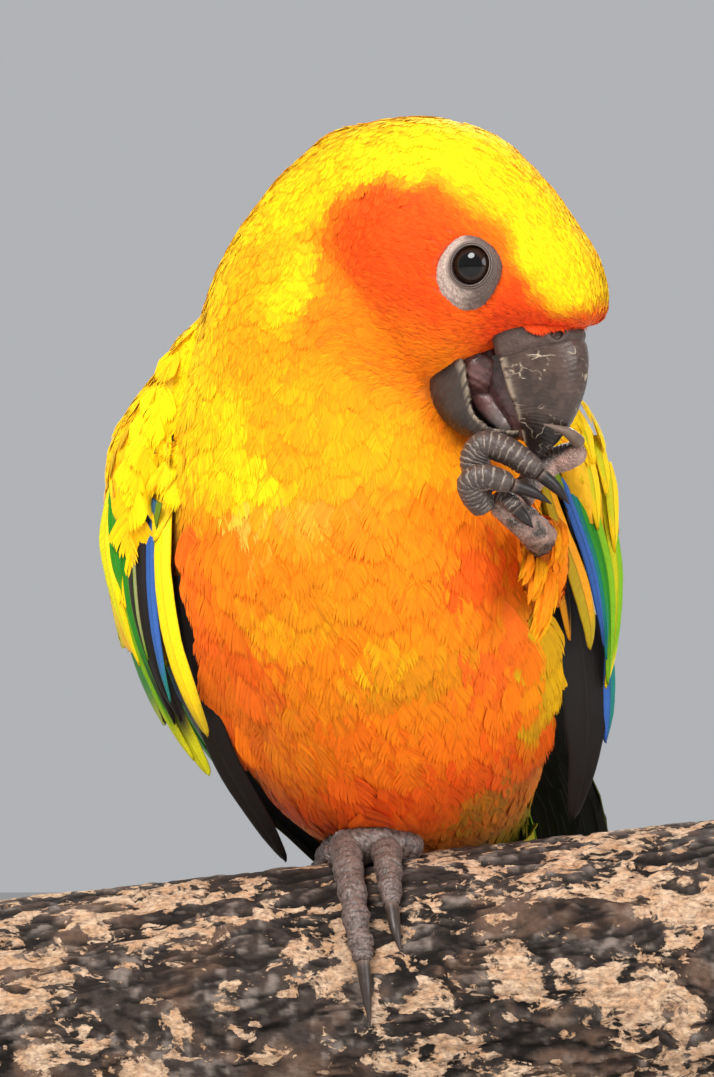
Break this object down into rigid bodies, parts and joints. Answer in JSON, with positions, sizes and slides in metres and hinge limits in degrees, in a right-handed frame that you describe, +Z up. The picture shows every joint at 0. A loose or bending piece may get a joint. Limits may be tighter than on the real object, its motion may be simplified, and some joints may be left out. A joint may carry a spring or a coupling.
{
  "type": "parrot model on a perch",
  "caption": "Life-size sun conure, a small parrot, perched on one foot with the other raised to its bill, on a cut branch held by rods over a round base.",
  "frame": {"origin": "centre of the stand base's underside", "axes": "+Z up from the base to the bird's crown, -Y the way the bird's breast faces, +X the bird's left"},
  "size_m": [0.158, 0.158, 0.2541],
  "materials": {
    "yellow_feather": "bright yellow feather, matte with a silky sheen",
    "orange_feather": "orange feather, red-orange on face and belly, matte with a silky sheen",
    "green_feather": "green flight feather, satin",
    "blue_feather": "dark blue flight feather with dusky tips, satin",
    "olive_feather": "olive-green tail feather, satin",
    "eye": "very dark brown iris and black pupil, wet gloss",
    "bare_skin": "pale grey-pink wrinkled bare skin",
    "cere": "dark grey soft cere",
    "bill_horn": "dark brown-grey horn with pale growth lines, half gloss",
    "tongue": "dark grey-red moist skin",
    "scute": "dark grey scaled skin with pale edges",
    "claw_horn": "dark horn, half gloss",
    "bark": "dark fissured bark with pale flaked patches",
    "stand_wood": "dark stained wood, satin lacquer",
    "rod_metal": "brushed steel"
  },
  "bodies": {
    "root": {"torso": "orange_feather", "head": "orange_feather", "neck": "yellow_feather", "cere": "cere", "bill_upper": "bill_horn", "bill_lower": "bill_horn", "tongue": "tongue", "mouth": "tongue", "tail_feathers": "olive_feather", "tail_coverts_upper": "olive_feather", "tail_coverts_under": "olive_feather", "perch": "bark", "stand_base": "stand_wood", "stand_rod_right": "rod_metal", "stand_rod_left": "rod_metal", "eye_right": "eye", "eyelids_right": "bare_skin", "tarsus_right": "scute", "thigh_right": "orange_feather", "wing_coverts_right": "yellow_feather", "wing_secondaries_right": "green_feather", "wing_primaries_right": "blue_feather", "toe_1_right": "scute", "claw_1_right": "claw_horn", "toe_2_right": "scute", "claw_2_right": "claw_horn", "toe_3_right": "scute", "claw_3_right": "claw_horn", "toe_4_right": "scute", "claw_4_right": "claw_horn", "eye_left": "eye", "eyelids_left": "bare_skin", "tarsus_left": "scute", "thigh_left": "orange_feather", "wing_coverts_left": "yellow_feather", "wing_secondaries_left": "green_feather", "wing_primaries_left": "blue_feather", "toe_1_left": "scute", "claw_1_left": "claw_horn", "toe_2_left": "scute", "claw_2_left": "claw_horn", "toe_3_left": "scute", "claw_3_left": "claw_horn", "toe_4_left": "scute", "claw_4_left": "claw_horn"}
  },
  "joints": []
}
